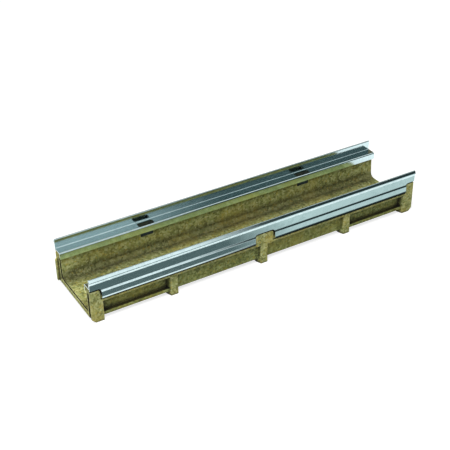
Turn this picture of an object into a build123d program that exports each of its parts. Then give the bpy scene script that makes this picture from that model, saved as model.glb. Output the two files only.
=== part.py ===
from build123d import *
import os
from math import radians, tan

# Low channel drain, one metre long: a cast polymer concrete trough with a folded steel rail on each wall.
# X runs along the trough, Y across it and Z up. The origin is under the middle of the trough, level with
# its feet. Sizes are in millimetres.

# Overall, with the clear width between the rails' lips
laying_length = 1000.0
clear_width = 150.0
trough_height = 102.0

# Edge rails, each one folded sheet: flared skirt, step, web, bead, hem, upstand, ledge and lip
sheet_thickness = 2.0
bend_radius = 2.0
lip_height = 18.5
upstand_height = 27.0
hem_gap = 0.3
hem_bend_radius = 0.15
web_clearance = 0.3
bead_height = 15.0
bead_bulge = 3.4
bead_ridge_below_top = 6.9
skirt_step = 3.0
skirt_step_below_seat = 10.25
skirt_step_height = 4.0
skirt_height = 14.25
flare_out = 2.0
flare_height = 3.0
flare_radius = 8.0
notch_clearance = 3.0
notch_above_block = 4.8
notch_corner_radius = 8.0

# Floor and walls: thin walls stand on a sill in the outer bays, thick ones are plain in the middle bays
foot_height = 12.0
floor_thickness = 12.0
floor_corner_radius = 12.0
wall_behind_lip = 3.0
wall_draft = 3.0
backing_clearance = 0.3
backing_height = 14.0
thin_wall = 9.0
thick_wall = 16.0
sill_height = 9.0
sill_setback = 4.0
cast_edge_radius = 1.5
cast_root_radius = 2.0

# Head band along the top of each wall, with a channel for the rail's skirt
band_height = 45.0
band_rim_height = 6.0
skirt_channel_depth = 3.5
skirt_channel_below_top = 3.5

# Ribs, which wrap round the trough and end in feet
rib_width = 20.0
rib_depth = 16.0
side_rib_offset = 270.0
rib_draft_degrees = 22.0
end_post_width = 33.0
end_foot_chamfer = 10.0

# Blocks that stand in the notches of the rail's skirt
block_width = 54.0
block_below_top = 9.0
block_corner_radius = 6.0

# Joint at each end: a tongue on one wall, a groove in the other and a sealing groove behind a low lip
tongue_width = 7.0
tongue_length = 7.0
tongue_low = 14.0
tongue_tip_below_top = 28.0
tongue_slope_height = 11.0
tongue_from_outside = 11.0
tongue_edge_radius = 1.2
groove_clearance = 1.0
seal_groove_width = 2.0
seal_groove_depth = 5.0
seal_lip_thickness = 1.5
seal_lip_setback = 2.8

# Lock slots in the rails, with a pocket in the trough behind each
slot_spacing = 500.0
slot_length = 46.0
slot_width = 19.0
slot_corner_radius = 5.0
slot_from_lip = 3.5
pocket_margin = 1.0
pocket_depth = 12.0
mouth_length = 38.0
mouth_below_top = 33.0
mouth_reach = 15.0
mouth_corner_radius = 3.0

# Worked out from the sizes above, from the lip outwards and from the feet upwards
half_length = laying_length / 2
lip_face = clear_width / 2
half_floor = lip_face + sheet_thickness + wall_behind_lip
half_top = half_floor + wall_draft
thin_face = half_floor + thin_wall
thick_face = half_floor + thick_wall
half_width = thin_face + rib_depth
sill_face = half_width - sill_setback
channel_face = half_width - skirt_channel_depth
tongue_offset = half_width - tongue_from_outside
slot_offset = lip_face + slot_from_lip + slot_width / 2
floor_level = foot_height + floor_thickness
sill_top = foot_height + sill_height
band_bottom = trough_height - band_height
channel_low = band_bottom + band_rim_height
channel_high = trough_height - skirt_channel_below_top
backing_low = trough_height - backing_height
backing_face = lip_face + sheet_thickness + backing_clearance
block_top = trough_height - block_below_top
notch_top = block_top + notch_above_block
tongue_tip_high = trough_height - tongue_tip_below_top
tongue_high = tongue_tip_high + tongue_slope_height
seal_groove_end = -half_length + seal_lip_thickness + seal_groove_width
mouth_low = trough_height - mouth_below_top
step_top = trough_height + sheet_thickness / 2 - skirt_step_below_seat
step_bottom = step_top - skirt_step_height
flare_top = step_bottom - skirt_height
skirt_bottom = flare_top - flare_height


def mirrored_outline(corners):
    """Face on the YZ plane from the (across, up, radius) corners of its +Y half."""
    other_half = [(-across, up, radius) for across, up, radius in reversed(corners)]
    points = [(across, up) for across, up, _ in corners + other_half]
    radii = [radius for _, _, radius in corners + other_half]
    return Plane.YZ * make_face(FilletPolyline(*points, radius=radii, close=True))


def along_trough(face, start, end):
    """Solid with the same section from one place along the trough to another."""
    return Pos(start, 0, 0) * extrude(face, end - start)


def bay_section(wall_corners):
    """Outside of the trough in one bay: its wall, then the head band that all bays share."""
    return mirrored_outline(wall_corners + [
        (half_width, band_bottom, cast_edge_radius),
        (half_width, channel_low, cast_edge_radius),
        (channel_face, channel_low, 0),
        (channel_face, channel_high, 0),
        (half_width, channel_high, 0),
        (half_width, trough_height, cast_edge_radius),
    ])


def bays():
    """The outer bays, whose thin walls stand on a sill, and the plain middle bays."""
    outer = bay_section([
        (sill_face, foot_height, cast_edge_radius),
        (sill_face, sill_top, cast_edge_radius),
        (thin_face, sill_top, cast_root_radius),
        (thin_face, band_bottom, cast_root_radius),
    ])
    middle = bay_section([
        (thick_face, foot_height, cast_edge_radius),
        (thick_face, band_bottom, cast_root_radius),
    ])
    return [
        along_trough(outer, -half_length, -side_rib_offset),
        along_trough(middle, -side_rib_offset, side_rib_offset),
        along_trough(outer, side_rib_offset, half_length),
    ]


def rib(place, width):
    """A rib as wide as this at its faces, wider at the wall by its draft, up to the top of the rim."""
    half_face = width / 2
    half_root = half_face + rib_depth * tan(radians(rib_draft_degrees))
    corners = [
        (half_face, half_width, cast_edge_radius),
        (half_root, thin_face, 0),
        (half_root, -thin_face, 0),
        (half_face, -half_width, cast_edge_radius),
    ]
    corners += [(-along, across, radius) for along, across, radius in reversed(corners)]
    points = [(along, across) for along, across, _ in corners]
    radii = [radius for _, _, radius in corners]
    plan = make_face(FilletPolyline(*points, radius=radii, close=True))
    return Pos(place, 0, 0) * extrude(plan, channel_low - cast_edge_radius)


def block(place):
    """A pair of blocks in the skirt channels, one on each wall."""
    height = block_top - band_bottom
    face = Plane.XZ * Pos(place, band_bottom + height / 2) * RectangleRounded(
        block_width, height, block_corner_radius)
    return extrude(face, half_width, both=True)


def tongue():
    """Tongue on the -X end of the +Y wall, with a sloped top, let into the wall by its own length."""
    side = Plane.XZ * make_face(Polyline(
        (-tongue_length, tongue_low),
        (-tongue_length, tongue_tip_high),
        (0, tongue_high),
        (tongue_length, tongue_high),
        (tongue_length, tongue_low),
        close=True))
    bar = extrude(side, tongue_width / 2, both=True)
    bar = fillet(bar.faces().sort_by(Axis.X)[0].edges(), tongue_edge_radius)
    return Pos(-half_length, tongue_offset, 0) * bar


def below_waterway(depth, start, end):
    """What lies within this depth of the waterway's floor and walls, up to the backing behind the lips."""
    return along_trough(mirrored_outline([
        (half_floor + depth, floor_level - depth, floor_corner_radius + depth),
        (half_top + depth, backing_low, 0),
    ]), start, end)


def end_cuts():
    """What the -X end loses: the next tongue's groove, the sealing groove and the feet's sharp edge."""
    groove_high = tongue_high + groove_clearance
    groove = Pos(-half_length, -tongue_offset, groove_high / 2) * Box(
        2 * (tongue_length + groove_clearance), tongue_width + 2 * groove_clearance, groove_high)
    above_lip = below_waterway(seal_lip_setback, -half_length, seal_groove_end)
    seal_groove = below_waterway(seal_groove_depth, seal_groove_end - seal_groove_width, seal_groove_end)
    chamfer_side = end_foot_chamfer * 2 ** 0.5
    foot = Pos(-half_length, 0, 0) * Rot(0, 45, 0) * Box(chamfer_side, 4 * half_width, chamfer_side)
    return [groove, above_lip, seal_groove, foot]


def lock_pocket():
    """Pocket behind one lock slot of the +Y wall, with a mouth that opens into the waterway."""
    corner_radius = slot_corner_radius + pocket_margin
    far_face = slot_offset + slot_width / 2 + pocket_margin
    near_face = lip_face - corner_radius
    plan = Pos(0, (near_face + far_face) / 2) * RectangleRounded(
        slot_length + 2 * pocket_margin, far_face - near_face, corner_radius)
    chamber = Pos(0, 0, trough_height - pocket_depth) * extrude(plan, pocket_depth)
    mouth_height = trough_height - pocket_depth / 2 - mouth_low
    mouth_depth = half_top + mouth_reach - lip_face
    face = Plane.XZ * Pos(0, mouth_low + mouth_height / 2) * RectangleRounded(
        mouth_length, mouth_height, mouth_corner_radius)
    mouth = Pos(0, half_top + mouth_reach, 0) * extrude(face, mouth_depth)
    return chamber + mouth


def channel_body():
    """The trough, cast in one piece. Both ends are alike when it is turned round."""
    body = bays()[0].fuse(*bays()[1:])
    for place in (-half_length, half_length):
        body += rib(place, 2 * end_post_width)
    for place in (-side_rib_offset, 0, side_rib_offset):
        body += rib(place, rib_width)
    for place in (-half_length, 0, half_length):
        body += block(place)
    waterway = mirrored_outline([
        (half_floor, floor_level, floor_corner_radius),
        (half_top, backing_low, 0),
        (backing_face, backing_low, cast_edge_radius),
        (backing_face, trough_height, 0),
    ])
    body -= along_trough(waterway, -half_length, half_length)
    body &= Box(laying_length, 4 * half_width, 3 * trough_height)
    top_edges = body.edges().filter_by(Axis.X).group_by(Axis.Z)[-1]
    under_nose = [edge for edge in top_edges if abs(edge.center().Y) < half_floor]
    body = fillet(under_nose, bend_radius + backing_clearance)
    for turn in (Rot(0, 0, 0), Rot(0, 0, 180)):
        body += turn * tongue()
        for cut in end_cuts():
            body -= turn * cut
        for place in (-slot_spacing / 2, slot_spacing / 2):
            body -= turn * Pos(place, 0, 0) * lock_pocket()
    return body


def sheet_path():
    """Middle line of the folded sheet from the skirt's edge to the lip's, as (across, up, bend radius)."""
    half_sheet = sheet_thickness / 2
    seat = trough_height + half_sheet
    web = half_width + web_clearance + half_sheet
    upstand = web - sheet_thickness - hem_gap
    lip = lip_face + half_sheet
    top = seat + upstand_height
    return [
        (web + skirt_step + flare_out, skirt_bottom, 0),
        (web + skirt_step, flare_top, flare_radius),
        (web + skirt_step, step_bottom, bend_radius),
        (web, step_top, bend_radius),
        (web, top - bead_height, bend_radius),
        (web + bead_bulge, top - bead_ridge_below_top, bend_radius),
        (web, top, hem_bend_radius),
        (upstand, top, hem_bend_radius),
        (upstand, seat, bend_radius),
        (lip, seat, bend_radius),
        (lip, seat - lip_height, 0),
    ]


def edge_rail():
    """Rail of the +Y wall: one folded sheet, notched round the blocks and slotted for the locks."""
    points = [(across, up) for across, up, _ in sheet_path()]
    radii = [radius + sheet_thickness / 2 for _, _, radius in sheet_path()[1:-1]]
    section = Plane.YZ * trace(FilletPolyline(*points, radius=radii), sheet_thickness)
    rail = along_trough(section, -half_length, half_length)
    notch = RectangleRounded(
        block_width + 2 * notch_clearance, 2 * (notch_top - skirt_bottom), notch_corner_radius)
    for place in (-half_length, 0, half_length):
        face = Plane.XZ * Pos(place, skirt_bottom) * notch
        cutter = extrude(face, skirt_step + flare_out + sheet_thickness, both=True)
        rail -= Pos(0, half_width + skirt_step, 0) * cutter
    slot = Pos(0, slot_offset) * RectangleRounded(slot_length, slot_width, slot_corner_radius)
    for place in (-slot_spacing / 2, slot_spacing / 2):
        rail -= Pos(place, 0, trough_height - bend_radius) * extrude(slot, bend_radius + sheet_thickness)
    return rail


left_rail = edge_rail()
pieces = {
    "channel_body": channel_body(),
    "left_edge_rail": left_rail,
    "right_edge_rail": Rot(0, 0, 180) * left_rail,
}
os.makedirs("parts", exist_ok=True)
for name, shape in pieces.items():
    export_step(shape, f"parts/{name}.step")
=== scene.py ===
import math
from typing import NamedTuple

import bpy
from bpy.props import FloatProperty, FloatVectorProperty, PointerProperty
from mathutils import Matrix, Vector

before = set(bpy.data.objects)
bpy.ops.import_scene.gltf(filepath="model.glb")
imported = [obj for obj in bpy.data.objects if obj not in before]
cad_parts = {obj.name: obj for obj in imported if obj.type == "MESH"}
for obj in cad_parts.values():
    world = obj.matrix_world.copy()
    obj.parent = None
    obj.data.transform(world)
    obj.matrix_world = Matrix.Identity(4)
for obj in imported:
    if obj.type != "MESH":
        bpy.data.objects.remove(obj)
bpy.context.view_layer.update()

bl_info = {
    "name": "Channel Drain",
    "version": (1, 0, 0),
    "blender": (4, 5, 0),
    "location": "View3D > Sidebar > Channel Drain",
    "description": "Finishes, studio and camera for a low channel drain with folded edge rails",
    "category": "Object",
}

TROUGH = "channel_body"
RAILS = ("left_edge_rail", "right_edge_rail")
SENSOR_WIDTH = 36.0

# Rays that each point sends out to find the edges beside it and the sky that it sees
EDGE_SAMPLES = 4
SKY_SAMPLES = 16

# Sockets of a Mix node of colours: its factor, its two colours and its result
MIX_FACTOR = 0
MIX_FIRST = 6
MIX_SECOND = 7
MIX_RESULT = 2


class Pattern(NamedTuple):
    """A cloudy pattern with finer layers in it. A scale under one draws it out along that axis."""
    detail: float
    roughness: float = 0.5
    scale: tuple = (1, 1, 1)


class Span(NamedTuple):
    """The value at which a coat begins, the value at which it is full, and how much of it shows there."""
    start: float
    full: float
    most: float = 1.0


# Patterns of the cast trough
CLUMPS = Pattern(detail=3.0, roughness=0.65)
CLOUDS = Pattern(detail=4.0, roughness=0.6)
STREAKS = Pattern(detail=3.0, roughness=0.6, scale=(1, 1, 0.12))
DUST = Pattern(detail=3.0, roughness=0.7)
FOOT_SHADE_BORDER = Pattern(detail=3.0, scale=(0.3, 1, 1))

# Where its coats of sand show, by the values of these patterns
PALE_GRAINS = Span(0.45, 1.0)
BROWN_GRAINS = Span(0.34, 0.12, most=0.75)
GOLDEN_GRAINS = Span(0.86, 0.95, most=0.7)
BINDER_DUST = Span(0.35, 0.7, most=0.4)
BROWN_CLUMPS = Span(0.46, 0.28, most=0.55)
PALE_CLUMPS = Span(0.55, 0.74, most=0.5)
BROWN_STREAKS = Span(0.52, 0.30, most=0.45)
GOLDEN_CLOUDS = Span(0.48, 0.70, most=0.45)

# Painted shade: where its corners, gaps and wall feet are darkened, by the share of the sky that a point
# sees
PAINTED_CORNER_SHADE = Span(0.92, 0.25)
PAINTED_GAP_SHADE = Span(0.55, 0.38)
PAINTED_HOLLOW_SHADE = Span(0.74, 0.49)

# Where an edge is rubbed, by how nearly its rounded face and its true face point the same way
RUBBED = Span(0.995, 0.86)

# Patterns of the zinc, and where its dull crystals show
ROLLING_LINES = Pattern(detail=2.0, scale=(0.02, 1, 1))
ZINC_PATCHES = Pattern(detail=3.0, scale=(0.3, 1, 1))
GREY_CRYSTALS = Span(0.1, 0.55)

# Lowest and highest values of the patterns that set the border of the painted wall-foot shade and the
# roughness
FOOT_SHADE_BORDER_VALUES = (0.3, 0.7)
DUST_VALUES = (0.2, 0.8)
CRYSTAL_VALUES = (0.1, 0.6)


def colour(name, default, description):
    """A colour that a user may change."""
    return FloatVectorProperty(name=name, description=description, default=default,
                               subtype="COLOR", min=0, max=1)


def length(name, default, description):
    """A length in metres that a user may change."""
    return FloatProperty(name=name, description=description, default=default,
                         unit="LENGTH", subtype="DISTANCE", precision=4)


def lengths(name, default, description):
    """Three lengths along the axes, of a place or a size, that a user may change."""
    return FloatVectorProperty(name=name, description=description, default=default,
                               subtype="XYZ", unit="LENGTH", precision=4)


def share(name, default, description):
    """A share from nothing to all that a user may change."""
    return FloatProperty(name=name, description=description, default=default,
                         subtype="FACTOR", min=0, max=1)


def amount(name, default, description, unit="NONE"):
    """A number over nothing that a user may change."""
    return FloatProperty(name=name, description=description, default=default, unit=unit, min=0)


def angle(name, degrees, description):
    """An angle that a user may change, given in degrees."""
    return FloatProperty(name=name, description=description, default=math.radians(degrees),
                         unit="ROTATION", subtype="ANGLE")


class ConcreteSettings(bpy.types.PropertyGroup):
    """Colours, grain, rubbed edges and painted shade of the cast trough."""
    binder: colour("Binder", (0.295, 0.325, 0.10), "Resin and fine filler between the grains")
    pale_sand: colour("Pale sand", (0.56, 0.58, 0.28), "The palest sand grains")
    brown_sand: colour("Brown sand", (0.10, 0.10, 0.028), "The brown sand grains")
    gold_fleck: colour("Golden fleck", (0.52, 0.41, 0.07), "Golden flecks and the warm clouds")
    grain: length("Grain", 0.005, "Size of the sand grains that show")
    clump: length("Clump", 0.007, "Size of the clumps of like grains")
    dust: length("Dust", 0.0012, "Size of the finest grains")
    cloud: length("Clouds", 0.085, "Size of the clouds in the colour")
    streak: length("Streaks", 0.005, "Width of the streaks that run down the walls")
    skin: colour("Worn skin", (0.60, 0.62, 0.34), "Resin skin where edges and ridges are rubbed")
    rubbed_width: length("Rubbed edge", 0.0022, "Width of the rubbed edges")
    rubbed_cover: share("Rubbed cover", 0.5, "How much of the worn skin shows on them")
    # Painted shade in corners and in gaps and grooves, by how little of the sky a point sees within the
    # reach
    corner_shade_tone: colour("Corner tone", (0.16, 0.15, 0.13), "What is left of each colour deep in a corner")
    corner_shade_reach: length("Corner reach", 0.011, "How far the grime spreads out of a corner")
    gap_shade_tone: colour("Gap tone", (0.04, 0.04, 0.04), "What is left of each colour in gaps and grooves")
    gap_shade_reach: length("Gap reach", 0.03, "Width of the gaps and grooves that stay dark")
    # Painted shade in the trough's hollow, darkest at the foot of its walls, from the sky that the trough
    # alone hides
    hollow_shade_tone: colour("Hollow shade tone", (0.16, 0.135, 0.07), "What is left of each colour where it is damp")
    hollow_shade_reach: length("Hollow shade reach", 0.13, "How far the damp spreads from the foot of the trough's walls")
    # Painted shade along the foot of the waterway's walls: darker towards the walls and low on them, with a
    # wavering border
    wall_foot_shade_tone: colour("Wall foot shade tone", (0.24, 0.23, 0.20), "What is left of each colour under the silt")
    wall_foot_shade_start: length("Wall foot shade start", 0.015, "Where the silt begins, from the middle of the waterway")
    wall_foot_shade_end: length("Wall foot shade end", 0.078, "Where it is full")
    wall_foot_shade_patch: length("Wall foot shade patches", 0.02125, "Size of the patches in the silt's border")
    wall_foot_shade_waver: length("Wall foot shade waver", 0.008, "How far its border wavers")
    wall_foot_shade_side: length("Waterway side", 0.0835, "The side of the waterway, from its middle")
    wall_foot_shade_low: length("Wall foot shade low", 0.0236, "Height of the waterway's floor")
    wall_foot_shade_high: length("Wall foot shade high", 0.05, "How high the silt reaches up the walls")
    # Painted shade on the recessed bays between the outer ribs
    bay_shade_tone: colour("Bay shade tone", (0.58, 0.63, 0.49), "What is left of each colour between the ribs")
    bay_middle: lengths("Bay middle", (0.23, 0.0948, 0.0345), "Middle of the bays along half a wall")
    bay_half: lengths("Bay half size", (0.235, 0.0068, 0.0225), "From the bays' middle to their sides")
    # Painted shade: a near-black colour laid inside the lock pockets, where the slots look dark
    pocket_shade: colour("Pocket shade", (0.018, 0.03, 0.027), "Dirt inside the lock pockets")
    pocket_shade_cover: share("Pocket cover", 0.92, "How much of the casting's colour it hides")
    pocket_middle: lengths("Pocket middle", (0.25, 0.0917, 0.0854), "Middle of one lock pocket")
    pocket_half: lengths("Pocket half size", (0.027, 0.0077, 0.0166), "From its middle to its sides")
    smooth: share("Smoothest", 0.74, "Roughness of the cast face between the dust")
    rough: share("Roughest", 0.94, "Roughness of the dust")
    specular: share("Specular", 0.3, "Strength of the cast face's gloss")
    relief: length("Relief", 0.0006, "Height of the grains and the dust")
    relief_strength: share("Relief strength", 0.7, "How clearly they stand out")
    grain_height: share("Grain height", 0.6, "Height of the grains beside that of the dust")


class ZincSettings(bpy.types.PropertyGroup):
    """Finish of the zinc on the edge rails."""
    bright: colour("Bright zinc", (0.62, 0.78, 0.80), "Reflection colour of the zinc")
    grey: colour("Grey zinc", (0.56, 0.715, 0.735), "Reflection colour of the duller crystals")
    crystal: length("Crystals", 0.011, "Size of the zinc crystals")
    patch: length("Patches", 0.066, "Size of the patches of like crystals and of the slow waves")
    rolling: length("Rolling lines", 0.0016, "Spacing of the fine lines along the sheet")
    rolling_height: share("Rolling height", 0.02, "Height of these lines beside that of the slow waves")
    cut_edge: colour("Cut edge", (0.50, 0.52, 0.46), "Rubbed folds and cut edges")
    rubbed_width: length("Rubbed edge", 0.0009, "Width of the rubbed edges")
    rubbed_cover: share("Rubbed cover", 0.6, "How much of their colour shows")
    smooth: share("Smoothest", 0.11, "Roughness of the bright crystals")
    dull: share("Dullest", 0.17, "Roughness of the dull crystals")
    ripple: length("Ripple", 0.00003, "Height of the slow waves in the sheet")
    ripple_strength: share("Ripple strength", 0.5, "How clearly they stand out")


class StudioSettings(bpy.types.PropertyGroup):
    """Camera, floor, studio walls and lamp."""
    camera_place: lengths("Camera", (-1.19499, -1.94287, 1.52529), "Where the camera stands")
    camera_azimuth: angle("Azimuth", 30.332, "Turn of the view from +Y towards +X")
    camera_fall: angle("Fall", 32.682, "How far the view points below the horizon")
    camera_roll: angle("Roll", -0.892, "Turn of the camera about its view")
    camera_lens: amount("Lens", 80.07, "Focal length in millimetres", unit="CAMERA")
    floor_size: length("Floor size", 12.0, "Length of the floor's sides")
    floor_gap: length("Floor gap", 0.0003, "Air between the drain's feet and the floor")
    floor: colour("Floor", (0.42, 0.42, 0.42), "Colour of the floor in the light")
    floor_glow: share("Floor glow", 0.74, "White that the floor adds for the eye and for mirrors")
    sky: colour("Sky", (1.0, 1.0, 1.0), "Studio walls")
    sky_fill: share("Sky fill", 0.53, "Strength of the light from the studio walls")
    lamp_place: lengths("Main lamp", (-1.0, -0.8, 2.4), "Where the soft main lamp hangs")
    lamp_size: length("Lamp size", 1.6, "Length of the lamp's sides")
    lamp_power: amount("Lamp power", 66.0, "Power of the main lamp", unit="POWER")


class CardSettings(bpy.types.PropertyGroup):
    """Cards that only the metal mirrors, in front of the drain, behind it and low beside it."""
    left: length("Left end", -1.5, "Left end of the cards")
    right: length("Right end", 3.0, "Right end of the cards")
    front: length("Front", -1.0, "Place of the cards in front, across the drain")
    lit: colour("Lit card", (1.0, 1.0, 1.0), "Card in front, on its left")
    lit_strength: amount("Lit strength", 1.17, "Strength of its left")
    unlit: colour("Unlit card", (0.03, 0.045, 0.045), "The same card on its right")
    foot: length("Foot", 0.004, "Foot of the lit card")
    fade_start: length("Fade start", 0.17, "Where the lit card begins to darken")
    fade_end: length("Fade end", 0.46, "Where it is as dark as it gets")
    seam: length("Seam", 0.79, "Where the lit card ends and the grey one begins")
    grey: colour("Grey card", (0.42, 0.42, 0.42), "Card above the lit one, on its left")
    dim: colour("Dim card", (0.10, 0.125, 0.125), "The same card on its right")
    top: length("Top", 2.2, "Top of the grey card")
    grey_fade_start: length("Grey fade start", 0.2, "Where the grey card begins to darken")
    grey_fade_end: length("Grey fade end", 0.62, "Where it is as dark as it gets")
    teal: colour("Low card", (0.127, 0.168, 0.168), "Card low beside the drain, on its left")
    pale: colour("Pale low card", (0.68, 0.76, 0.74), "The same card on its right")
    low_near: length("Low card near", -0.185, "The low card's edge beside the drain")
    low_far: length("Low card far", -0.97, "The low card's other edge")
    low_height: length("Low card height", 0.002, "Height of the low card")
    low_fade_start: length("Low fade start", -0.04, "Where the low card begins to brighten")
    low_fade_end: length("Low fade end", 0.17, "Where it is as bright as it gets")
    behind: colour("Card behind", (0.16, 0.14, 0.09), "Card behind the drain")
    back: length("Back", 1.2, "Place of the card behind, across the drain")
    back_foot: length("Back foot", 0.2, "Foot of the card behind")
    back_top: length("Back top", 3.0, "Top of the card behind")


# Nodes that every material is made of

def new_material(name):
    """An empty node material and its tree."""
    material = bpy.data.materials.new(name)
    material.use_nodes = True
    material.node_tree.nodes.clear()
    return material, material.node_tree


def finish_material(tree, shader):
    """Link the shader to the material's surface."""
    output = tree.nodes.new("ShaderNodeOutputMaterial")
    tree.links.new(shader.outputs[0], output.inputs["Surface"])


def add_node(tree, kind, inputs=(), **fields):
    """A node of this kind with its fields set and its inputs set or linked, by name or number."""
    node = tree.nodes.new(kind)
    for field, value in fields.items():
        setattr(node, field, value)
    for socket, value in dict(inputs).items():
        if isinstance(value, bpy.types.NodeSocket):
            tree.links.new(value, node.inputs[socket])
        else:
            node.inputs[socket].default_value = value
    return node


def math_of(tree, operation, first, second=0.0):
    """What this operation makes of one or two values."""
    return add_node(tree, "ShaderNodeMath", {0: first, 1: second}, operation=operation).outputs[0]


def vector_of(tree, operation, first, second=(0, 0, 0)):
    """What this operation makes of one or two vectors."""
    return add_node(tree, "ShaderNodeVectorMath", {0: first, 1: second}, operation=operation).outputs[0]


def place_of(tree):
    """Place of the point on the object, in metres."""
    return add_node(tree, "ShaderNodeTexCoord").outputs["Object"]


def axes_of(tree, vector):
    """The parts of a vector along X, Y and Z."""
    return add_node(tree, "ShaderNodeSeparateXYZ", {"Vector": vector}).outputs


def remap(tree, value, low, high, to_low, to_high):
    """Value stretched from one range to another and held inside it."""
    node = add_node(tree, "ShaderNodeMapRange", {
        "Value": value, "From Min": low, "From Max": high, "To Min": to_low, "To Max": to_high}, clamp=True)
    return node.outputs["Result"]


def cover_of(tree, value, span):
    """How much of a coat shows at this value."""
    return remap(tree, value, span.start, span.full, 0, span.most)


def mix(tree, factor, first, second, blend="MIX"):
    """Colour that goes from the first to the second with the factor."""
    inputs = {MIX_FACTOR: factor, MIX_FIRST: first, MIX_SECOND: second}
    return add_node(tree, "ShaderNodeMix", inputs, data_type="RGBA", blend_type=blend).outputs[MIX_RESULT]


def opaque(rgb):
    """Colour with full alpha."""
    return (*rgb, 1)


def coated(tree, base, cover, coat):
    """Colour with a coat over it, as far as the coat covers it."""
    return mix(tree, cover, base, opaque(coat))


def darkened(tree, base, cover, tone):
    """Colour of which a tone leaves only a part, as far as the painted shade covers it."""
    return mix(tree, cover, base, opaque(tone), blend="MULTIPLY")


def noise(tree, place, size, pattern):
    """Values of a cloudy pattern whose lumps have about this size before it is drawn out."""
    drawn_out = add_node(tree, "ShaderNodeMapping", {"Vector": place, "Scale": pattern.scale})
    node = add_node(tree, "ShaderNodeTexNoise", {
        "Vector": drawn_out.outputs["Vector"], "Scale": 1 / size,
        "Detail": pattern.detail, "Roughness": pattern.roughness})
    return node.outputs["Fac"]


def cells(tree, place, size):
    """Two random values of each grain or crystal of about this size, and the distance to its middle."""
    node = add_node(tree, "ShaderNodeTexVoronoi", {"Vector": place, "Scale": 1 / size})
    parts = add_node(tree, "ShaderNodeSeparateColor", {"Color": node.outputs["Color"]})
    return parts.outputs["Red"], parts.outputs["Green"], node.outputs["Distance"]


def rubbed_edges(tree, width, most):
    """The most within this width of an edge and nothing on flat faces."""
    rounded_face = add_node(tree, "ShaderNodeBevel", {"Radius": width}, samples=EDGE_SAMPLES)
    true_face = add_node(tree, "ShaderNodeNewGeometry")
    normals = {0: rounded_face.outputs["Normal"], 1: true_face.outputs["Normal"]}
    same = add_node(tree, "ShaderNodeVectorMath", normals, operation="DOT_PRODUCT")
    return cover_of(tree, same.outputs["Value"], RUBBED._replace(most=most))


def relief(tree, height, depth, strength):
    """Normal of a face with this relief."""
    bump = add_node(tree, "ShaderNodeBump", {"Height": height, "Distance": depth, "Strength": strength})
    return bump.outputs["Normal"]


# The cast trough's finish and painted shade

def shaded(tree, base, reach, span, tone, alone=False):
    """Painted shade: colour darkened where little of the sky shows past all that is within this reach."""
    sky = add_node(tree, "ShaderNodeAmbientOcclusion", {"Distance": reach},
                   samples=SKY_SAMPLES, only_local=alone)
    return darkened(tree, base, cover_of(tree, sky.outputs["AO"], span), tone)


def inside_box(tree, place, middle, half):
    """One inside this box and its three mirror images along and across the drain, nothing elsewhere."""
    away = vector_of(tree, "SUBTRACT", vector_of(tree, "ABSOLUTE", place), middle)
    halves = axes_of(tree, vector_of(tree, "DIVIDE", vector_of(tree, "ABSOLUTE", away), half))
    farthest = math_of(tree, "MAXIMUM", math_of(tree, "MAXIMUM", halves["X"], halves["Y"]), halves["Z"])
    return math_of(tree, "LESS_THAN", farthest, 1.0)


def wall_foot_shade_cover(tree, place, settings):
    """Cover of painted shade: one along the foot of the waterway's walls, less towards its middle and up
    the walls.
    """
    axes = axes_of(tree, place)
    across = math_of(tree, "ABSOLUTE", axes["Y"])
    border_wave = noise(tree, place, settings.wall_foot_shade_patch, FOOT_SHADE_BORDER)
    waver = remap(tree, border_wave, *FOOT_SHADE_BORDER_VALUES, -settings.wall_foot_shade_waver, settings.wall_foot_shade_waver)
    spread = math_of(tree, "ADD", across, waver)
    on_floor = cover_of(tree, spread, Span(settings.wall_foot_shade_start, settings.wall_foot_shade_end))
    on_wall = cover_of(tree, axes["Z"], Span(settings.wall_foot_shade_high, settings.wall_foot_shade_low))
    between_walls = math_of(tree, "LESS_THAN", across, settings.wall_foot_shade_side)
    over_floor = math_of(tree, "GREATER_THAN", axes["Z"], settings.wall_foot_shade_low)
    in_waterway = math_of(tree, "MULTIPLY", between_walls, over_floor)
    return math_of(tree, "MULTIPLY", in_waterway, math_of(tree, "MULTIPLY", on_floor, on_wall))


def sand_colour(tree, place, grain_tone, grain_kind, dust, settings):
    """Sandy olive with pale, brown and golden grains, in clumps, streaks and slow clouds."""
    clump = noise(tree, place, settings.clump, CLUMPS)
    cloud = noise(tree, place, settings.cloud, CLOUDS)
    streak = noise(tree, place, settings.streak, STREAKS)
    coats = (
        (grain_tone, PALE_GRAINS, settings.pale_sand),
        (grain_tone, BROWN_GRAINS, settings.brown_sand),
        (grain_kind, GOLDEN_GRAINS, settings.gold_fleck),
        (dust, BINDER_DUST, settings.binder),
        (clump, BROWN_CLUMPS, settings.brown_sand),
        (clump, PALE_CLUMPS, settings.pale_sand),
        (streak, BROWN_STREAKS, settings.brown_sand),
        (cloud, GOLDEN_CLOUDS, settings.gold_fleck),
    )
    base = opaque(settings.binder)
    for value, span, coat in coats:
        base = coated(tree, base, cover_of(tree, value, span), coat)
    return base


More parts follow.
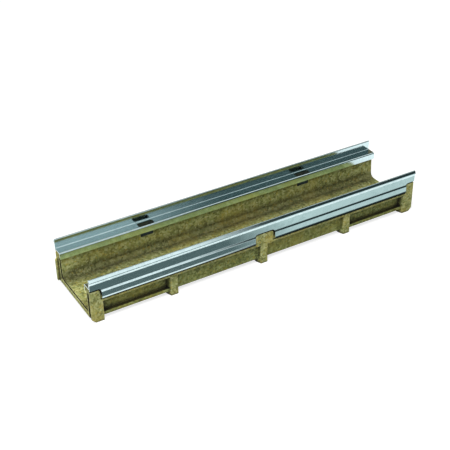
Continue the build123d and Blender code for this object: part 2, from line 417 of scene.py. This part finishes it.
def with_painted_shade(tree, place, base, settings):
    """Colour with painted shade in its corners, gaps, wall feet, bays and lock pockets."""
    # Painted shade in corners, in gaps and grooves, and in the trough's hollow
    base = shaded(tree, base, settings.corner_shade_reach, PAINTED_CORNER_SHADE, settings.corner_shade_tone)
    base = shaded(tree, base, settings.gap_shade_reach, PAINTED_GAP_SHADE, settings.gap_shade_tone)
    # Painted shade in the trough's hollow and at its wall feet
    base = shaded(tree, base, settings.hollow_shade_reach, PAINTED_HOLLOW_SHADE, settings.hollow_shade_tone, alone=True)
    # Painted shade along the foot of the waterway's walls
    base = darkened(tree, base, wall_foot_shade_cover(tree, place, settings), settings.wall_foot_shade_tone)
    # Painted shade on the recessed bays between the ribs
    bays = inside_box(tree, place, settings.bay_middle, settings.bay_half)
    base = darkened(tree, base, bays, settings.bay_shade_tone)
    # Painted shade: near-black inside the lock pockets
    pockets = inside_box(tree, place, settings.pocket_middle, settings.pocket_half)
    cover = math_of(tree, "MULTIPLY", pockets, settings.pocket_shade_cover)
    return coated(tree, base, cover, settings.pocket_shade)


def concrete_material(settings):
    """Polymer concrete: sand in resin, with shade painted into its corners, gaps, hollow, bays and lock
    pockets, and rubbed on its edges.
    """
    material, tree = new_material("polymer_concrete")
    place = place_of(tree)
    grain_tone, grain_kind, grain_middle = cells(tree, place, settings.grain)
    dust = noise(tree, place, settings.dust, DUST)
    base = sand_colour(tree, place, grain_tone, grain_kind, dust, settings)
    rubbed = rubbed_edges(tree, settings.rubbed_width, settings.rubbed_cover)
    base = coated(tree, base, rubbed, settings.skin)
    grains = math_of(tree, "MULTIPLY", grain_middle, -settings.grain_height)
    height = math_of(tree, "ADD", grains, dust)
    shader = add_node(tree, "ShaderNodeBsdfPrincipled", {
        "Base Color": with_painted_shade(tree, place, base, settings),
        "Roughness": remap(tree, dust, *DUST_VALUES, settings.smooth, settings.rough),
        "Specular IOR Level": settings.specular,
        "Normal": relief(tree, height, settings.relief, settings.relief_strength),
    })
    finish_material(tree, shader)
    return material


# The rails' finish

def zinc_material(settings):
    """Hot-dip zinc: faint crystals, rolling lines along the sheet and rubbed edges."""
    material, tree = new_material("galvanised_steel")
    place = place_of(tree)
    crystal_tone, _, _ = cells(tree, place, settings.crystal)
    lines = noise(tree, place, settings.rolling, ROLLING_LINES)
    patches = noise(tree, place, settings.patch, ZINC_PATCHES)
    tone = math_of(tree, "MULTIPLY", crystal_tone, patches)
    base = coated(tree, opaque(settings.bright), cover_of(tree, tone, GREY_CRYSTALS), settings.grey)
    rubbed = rubbed_edges(tree, settings.rubbed_width, settings.rubbed_cover)
    low_lines = math_of(tree, "MULTIPLY", lines, settings.rolling_height)
    height = math_of(tree, "ADD", low_lines, patches)
    shader = add_node(tree, "ShaderNodeBsdfPrincipled", {
        "Base Color": coated(tree, base, rubbed, settings.cut_edge),
        "Metallic": 1.0,
        "Roughness": remap(tree, tone, *CRYSTAL_VALUES, settings.smooth, settings.dull),
        "Normal": relief(tree, height, settings.ripple, settings.ripple_strength),
    })
    finish_material(tree, shader)
    return material


def finish_node(name, material):
    """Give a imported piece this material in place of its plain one."""
    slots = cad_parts[name].data.materials
    slots.clear()
    slots.append(material)


class DRAIN_OT_trough(bpy.types.Operator):
    """Give the cast trough its sandy finish and its painted shade"""
    bl_idname = "drain.trough"
    bl_label = "Trough"

    def execute(self, context):
        finish_node(TROUGH, concrete_material(context.scene.drain_concrete))
        return {"FINISHED"}


class DRAIN_OT_rails(bpy.types.Operator):
    """Give the folded edge rails their zinc"""
    bl_idname = "drain.rails"
    bl_label = "Edge rails"

    def execute(self, context):
        material = zinc_material(context.scene.drain_zinc)
        for name in RAILS:
            finish_node(name, material)
        return {"FINISHED"}


# The studio

def add_camera(settings):
    """Camera at the photograph's viewing angle."""
    data = bpy.data.cameras.new("camera")
    data.sensor_width = SENSOR_WIDTH
    data.lens = settings.camera_lens
    camera = bpy.data.objects.new("camera", data)
    azimuth = settings.camera_azimuth
    fall = settings.camera_fall
    view = Vector((math.sin(azimuth) * math.cos(fall), math.cos(azimuth) * math.cos(fall), -math.sin(fall)))
    turn = view.to_track_quat("-Z", "Y").to_matrix() @ Matrix.Rotation(settings.camera_roll, 3, "Z")
    camera.matrix_world = Matrix.Translation(settings.camera_place) @ turn.to_4x4()
    bpy.context.scene.collection.objects.link(camera)
    bpy.context.scene.camera = camera


def seen_share(tree):
    """One for the eye and for mirrors and glass, nothing for light that falls on the object."""
    rays = add_node(tree, "ShaderNodeLightPath").outputs
    mirrored = math_of(tree, "MAXIMUM", rays["Is Glossy Ray"], rays["Is Transmission Ray"])
    return math_of(tree, "MAXIMUM", rays["Is Camera Ray"], mirrored)


def level(left, right, front, back, height):
    """Corners of a level rectangle."""
    return [(left, front, height), (right, front, height), (right, back, height), (left, back, height)]


def upright(left, right, across, foot, top):
    """Corners of an upright rectangle at this place across the drain."""
    return [(left, across, foot), (right, across, foot), (right, across, top), (left, across, top)]


def add_sheet(name, corners):
    """A flat four-cornered piece of the studio."""
    mesh = bpy.data.meshes.new(name)
    mesh.from_pydata(corners, [], [range(len(corners))])
    sheet = bpy.data.objects.new(name, mesh)
    bpy.context.scene.collection.objects.link(sheet)
    return sheet


def add_floor(settings):
    """White floor that keeps the drain's shadow."""
    half = settings.floor_size / 2
    floor = add_sheet("floor", level(-half, half, -half, half, -settings.floor_gap))
    material, tree = new_material("floor")
    glow = add_node(tree, "ShaderNodeEmission", {
        "Color": opaque(settings.sky),
        "Strength": math_of(tree, "MULTIPLY", seen_share(tree), settings.floor_glow)})
    matt = add_node(tree, "ShaderNodeBsdfDiffuse", {"Color": opaque(settings.floor)})
    finish_material(tree, add_node(tree, "ShaderNodeAddShader", {0: glow.outputs[0], 1: matt.outputs[0]}))
    floor.data.materials.append(material)


def add_card(name, corners, left, right, fade_start, fade_end):
    """Card that only mirrors see, which goes from one colour on its left to another on its right."""
    card = add_sheet(name, corners)
    card.visible_camera = False
    card.visible_diffuse = False
    card.visible_shadow = False
    card.visible_transmission = False
    material, tree = new_material(name)
    along = axes_of(tree, place_of(tree))["X"]
    fade = cover_of(tree, along, Span(fade_start, fade_end))
    tone = coated(tree, opaque(left), fade, right)
    finish_material(tree, add_node(tree, "ShaderNodeEmission", {"Color": tone, "Strength": 1.0}))
    card.data.materials.append(material)


def add_cards(cards):
    """The bright and dark cards round the drain that the zinc mirrors."""
    lit = [cards.lit_strength * part for part in cards.lit]
    add_card("lit_card", upright(cards.left, cards.right, cards.front, cards.foot, cards.seam),
             lit, cards.unlit, cards.fade_start, cards.fade_end)
    add_card("grey_card", upright(cards.left, cards.right, cards.front, cards.seam, cards.top),
             cards.grey, cards.dim, cards.grey_fade_start, cards.grey_fade_end)
    add_card("card_behind", upright(cards.left, cards.right, cards.back, cards.back_foot, cards.back_top),
             cards.behind, cards.behind, cards.left, cards.right)
    add_card("low_card", level(cards.left, cards.right, cards.low_far, cards.low_near, cards.low_height),
             cards.teal, cards.pale, cards.low_fade_start, cards.low_fade_end)


def add_lamp(settings):
    """Soft square main lamp, turned to the drain."""
    data = bpy.data.lights.new("main_lamp", "AREA")
    data.size = settings.lamp_size
    data.energy = settings.lamp_power
    lamp = bpy.data.objects.new("main_lamp", data)
    lamp.location = settings.lamp_place
    lamp.rotation_euler = (-Vector(settings.lamp_place)).to_track_quat("-Z", "Y").to_euler()
    bpy.context.scene.collection.objects.link(lamp)


def add_world(settings):
    """Studio walls: white for the eye and for mirrors, an even fill for the rest."""
    world = bpy.data.worlds.new("studio")
    world.use_nodes = True
    tree = world.node_tree
    background = tree.nodes["Background"]
    background.inputs["Color"].default_value = opaque(settings.sky)
    strength = remap(tree, seen_share(tree), 0, 1, settings.sky_fill, 1)
    tree.links.new(strength, background.inputs["Strength"])
    bpy.context.scene.world = world


class DRAIN_OT_studio(bpy.types.Operator):
    """Set up the camera, the floor, the cards, the studio walls and the lamp"""
    bl_idname = "drain.studio"
    bl_label = "Studio"

    def execute(self, context):
        settings = context.scene.drain_studio
        add_camera(settings)
        add_floor(settings)
        add_cards(context.scene.drain_cards)
        add_world(settings)
        add_lamp(settings)
        context.scene.view_settings.view_transform = "Standard"
        return {"FINISHED"}


SETTINGS = {
    "drain_concrete": ConcreteSettings,
    "drain_zinc": ZincSettings,
    "drain_studio": StudioSettings,
    "drain_cards": CardSettings,
}
OPERATORS = (DRAIN_OT_trough, DRAIN_OT_rails, DRAIN_OT_studio)


class DRAIN_PT_panel(bpy.types.Panel):
    """Lists the steps that finish the drain, and their settings"""
    bl_label = "Channel Drain"
    bl_idname = "DRAIN_PT_panel"
    bl_space_type = "VIEW_3D"
    bl_region_type = "UI"
    bl_category = "Channel Drain"

    def draw(self, context):
        for operator in OPERATORS:
            self.layout.operator(operator.bl_idname)
        for name, group in SETTINGS.items():
            for field in group.__annotations__:
                self.layout.prop(getattr(context.scene, name), field)


def register():
    """Make the settings, the operators and the panel known, and give the scene its settings."""
    for kind in (*SETTINGS.values(), *OPERATORS, DRAIN_PT_panel):
        bpy.utils.register_class(kind)
    for name, kind in SETTINGS.items():
        setattr(bpy.types.Scene, name, PointerProperty(type=kind))


def unregister():
    """Take back all that register made."""
    for name in SETTINGS:
        delattr(bpy.types.Scene, name)
    for kind in reversed((*SETTINGS.values(), *OPERATORS, DRAIN_PT_panel)):
        bpy.utils.unregister_class(kind)


def main():
    """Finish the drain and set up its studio."""
    register()
    bpy.ops.drain.trough()
    bpy.ops.drain.rails()
    bpy.ops.drain.studio()


if __name__ == "__main__":
    main()
